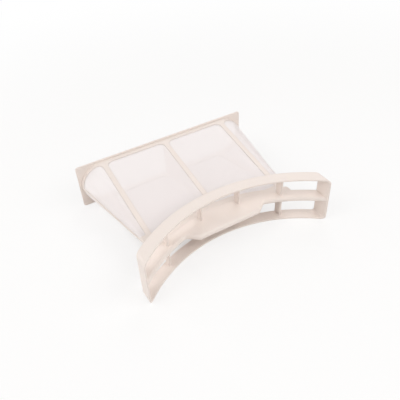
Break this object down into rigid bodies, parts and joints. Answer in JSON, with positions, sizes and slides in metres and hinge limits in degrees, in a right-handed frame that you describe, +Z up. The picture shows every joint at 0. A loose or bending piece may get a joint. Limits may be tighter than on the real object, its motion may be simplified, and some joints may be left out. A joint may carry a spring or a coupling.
{
  "type": "tumble dryer lint filter",
  "caption": "Lint filter with an arched front grille and finger handle, a wedge-shaped ribbed mesh pocket behind it and a flat flange round the open mouth.",
  "frame": {"origin": "under the middle of the outline, on the plane that the filter rests on", "axes": "+X along the arched grille, +Y from the grille to the mouth flange, +Z up"},
  "size_m": [0.23, 0.1828, 0.057],
  "materials": {
    "frame_plastic": "satin moulded plastic, warm off-white",
    "filter_mesh": "fine woven polyester mesh, white, see-through"
  },
  "bodies": {
    "root": {"front_grille": "frame_plastic", "pocket_frame": "frame_plastic", "upper_mesh": "filter_mesh", "lower_mesh": "filter_mesh"}
  },
  "joints": []
}
